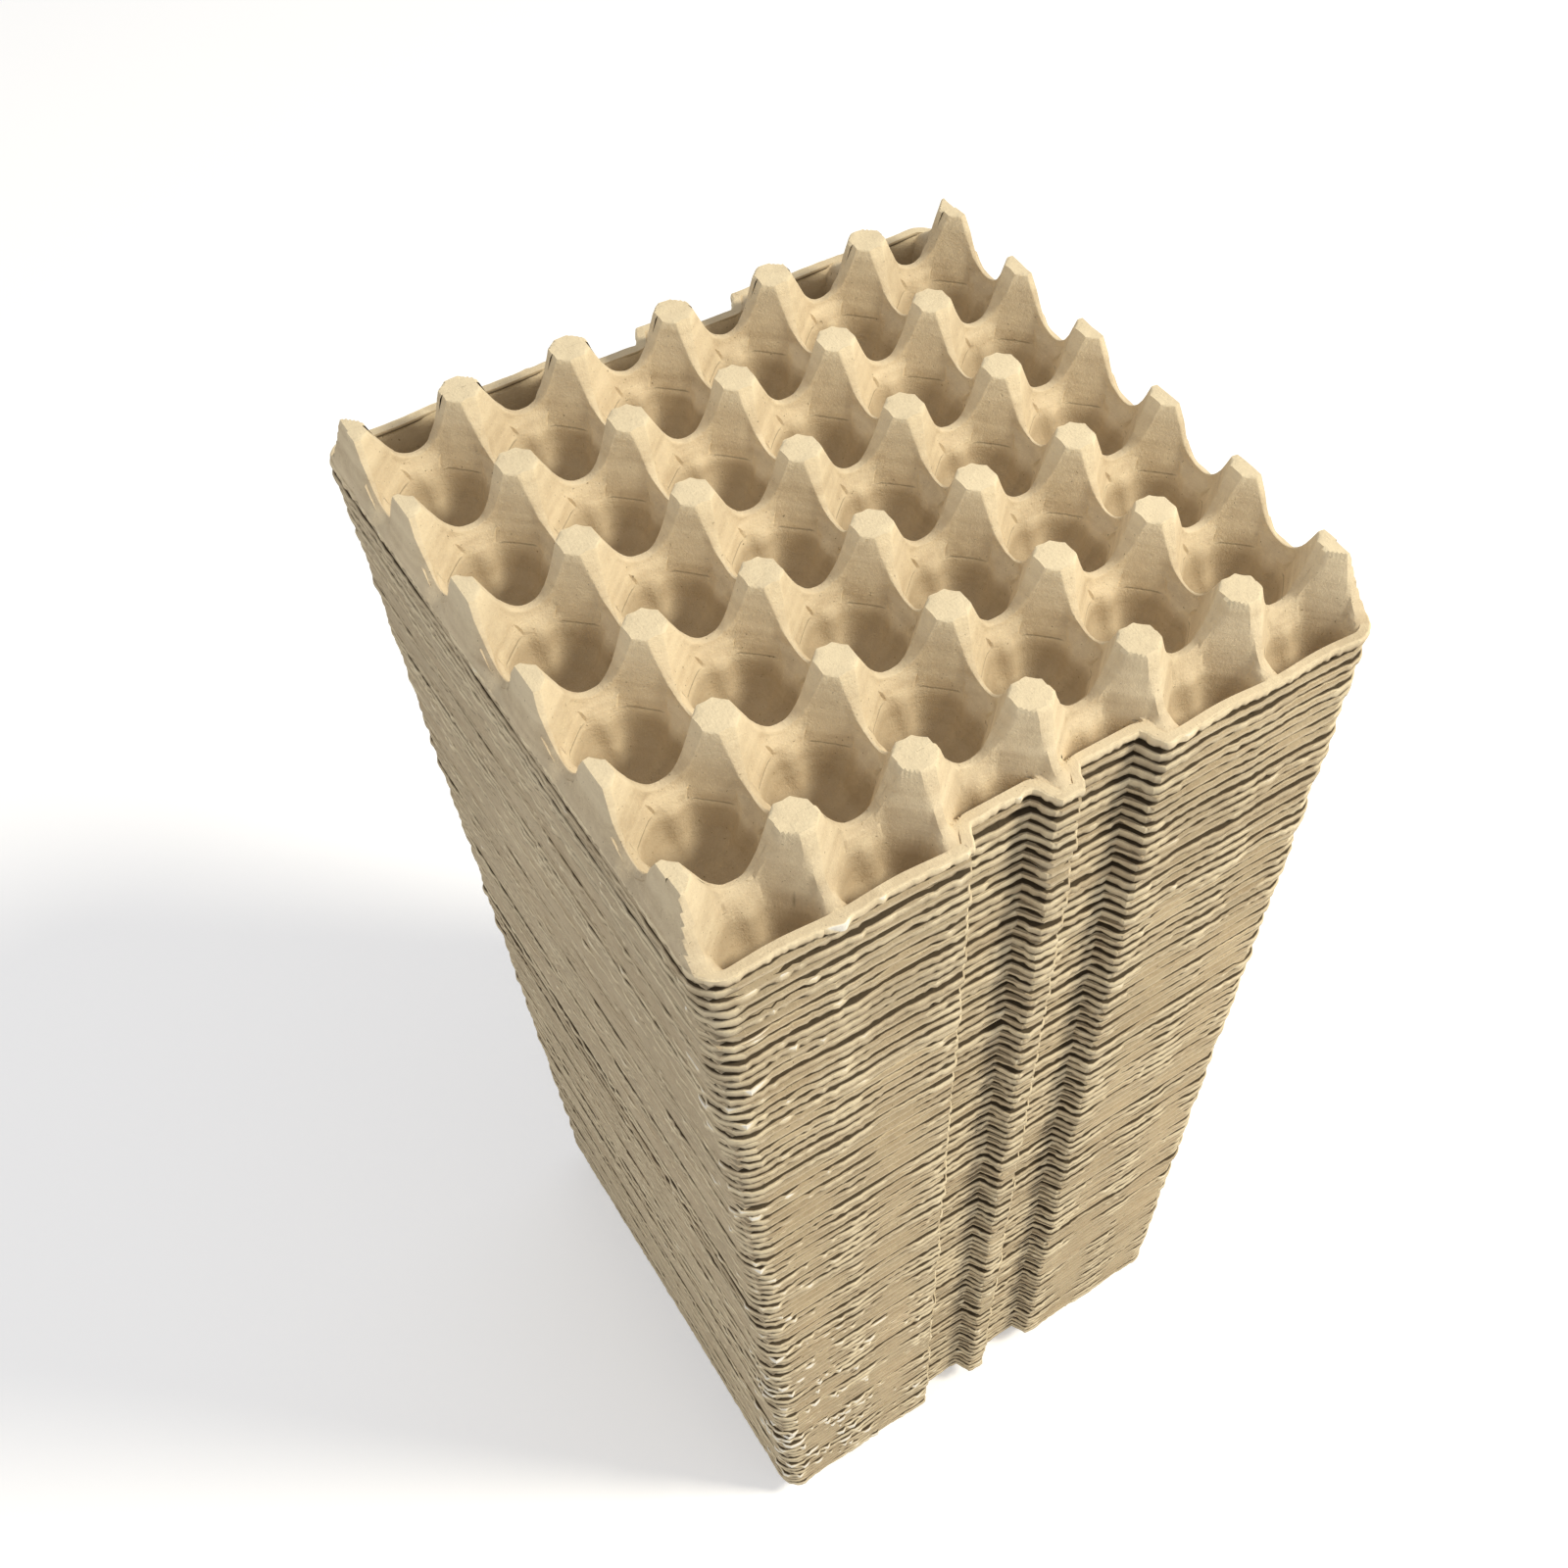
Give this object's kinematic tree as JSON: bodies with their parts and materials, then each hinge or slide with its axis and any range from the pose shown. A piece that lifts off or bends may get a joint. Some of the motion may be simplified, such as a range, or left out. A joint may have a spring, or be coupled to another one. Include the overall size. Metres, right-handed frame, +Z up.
{
  "type": "stack of pulp egg trays",
  "caption": "Tall nested stack of moulded paper-pulp egg trays with round cups, hollow posts, saddles between them and a notched rim.",
  "frame": {"origin": "on the surface the stack stands on, under the middle of the stack", "axes": "+Z up the stack, +X along the six cups of a row, +Y from the front of the trays to the back"},
  "size_m": [0.2888, 0.3002, 0.6558],
  "materials": {
    "pulp": "matte"
  },
  "bodies": {
    "root": {"bottom_tray": "pulp", "trays_002_to_008": "pulp", "trays_009_to_015": "pulp", "trays_016_to_022": "pulp", "trays_023_to_029": "pulp", "trays_030_to_036": "pulp", "trays_037_to_043": "pulp", "trays_044_to_050": "pulp", "trays_051_to_057": "pulp", "trays_058_to_064": "pulp", "trays_065_to_071": "pulp", "trays_072_to_078": "pulp", "trays_079_to_085": "pulp", "trays_086_to_092": "pulp", "trays_093_to_099": "pulp", "top_tray": "pulp"}
  },
  "joints": []
}
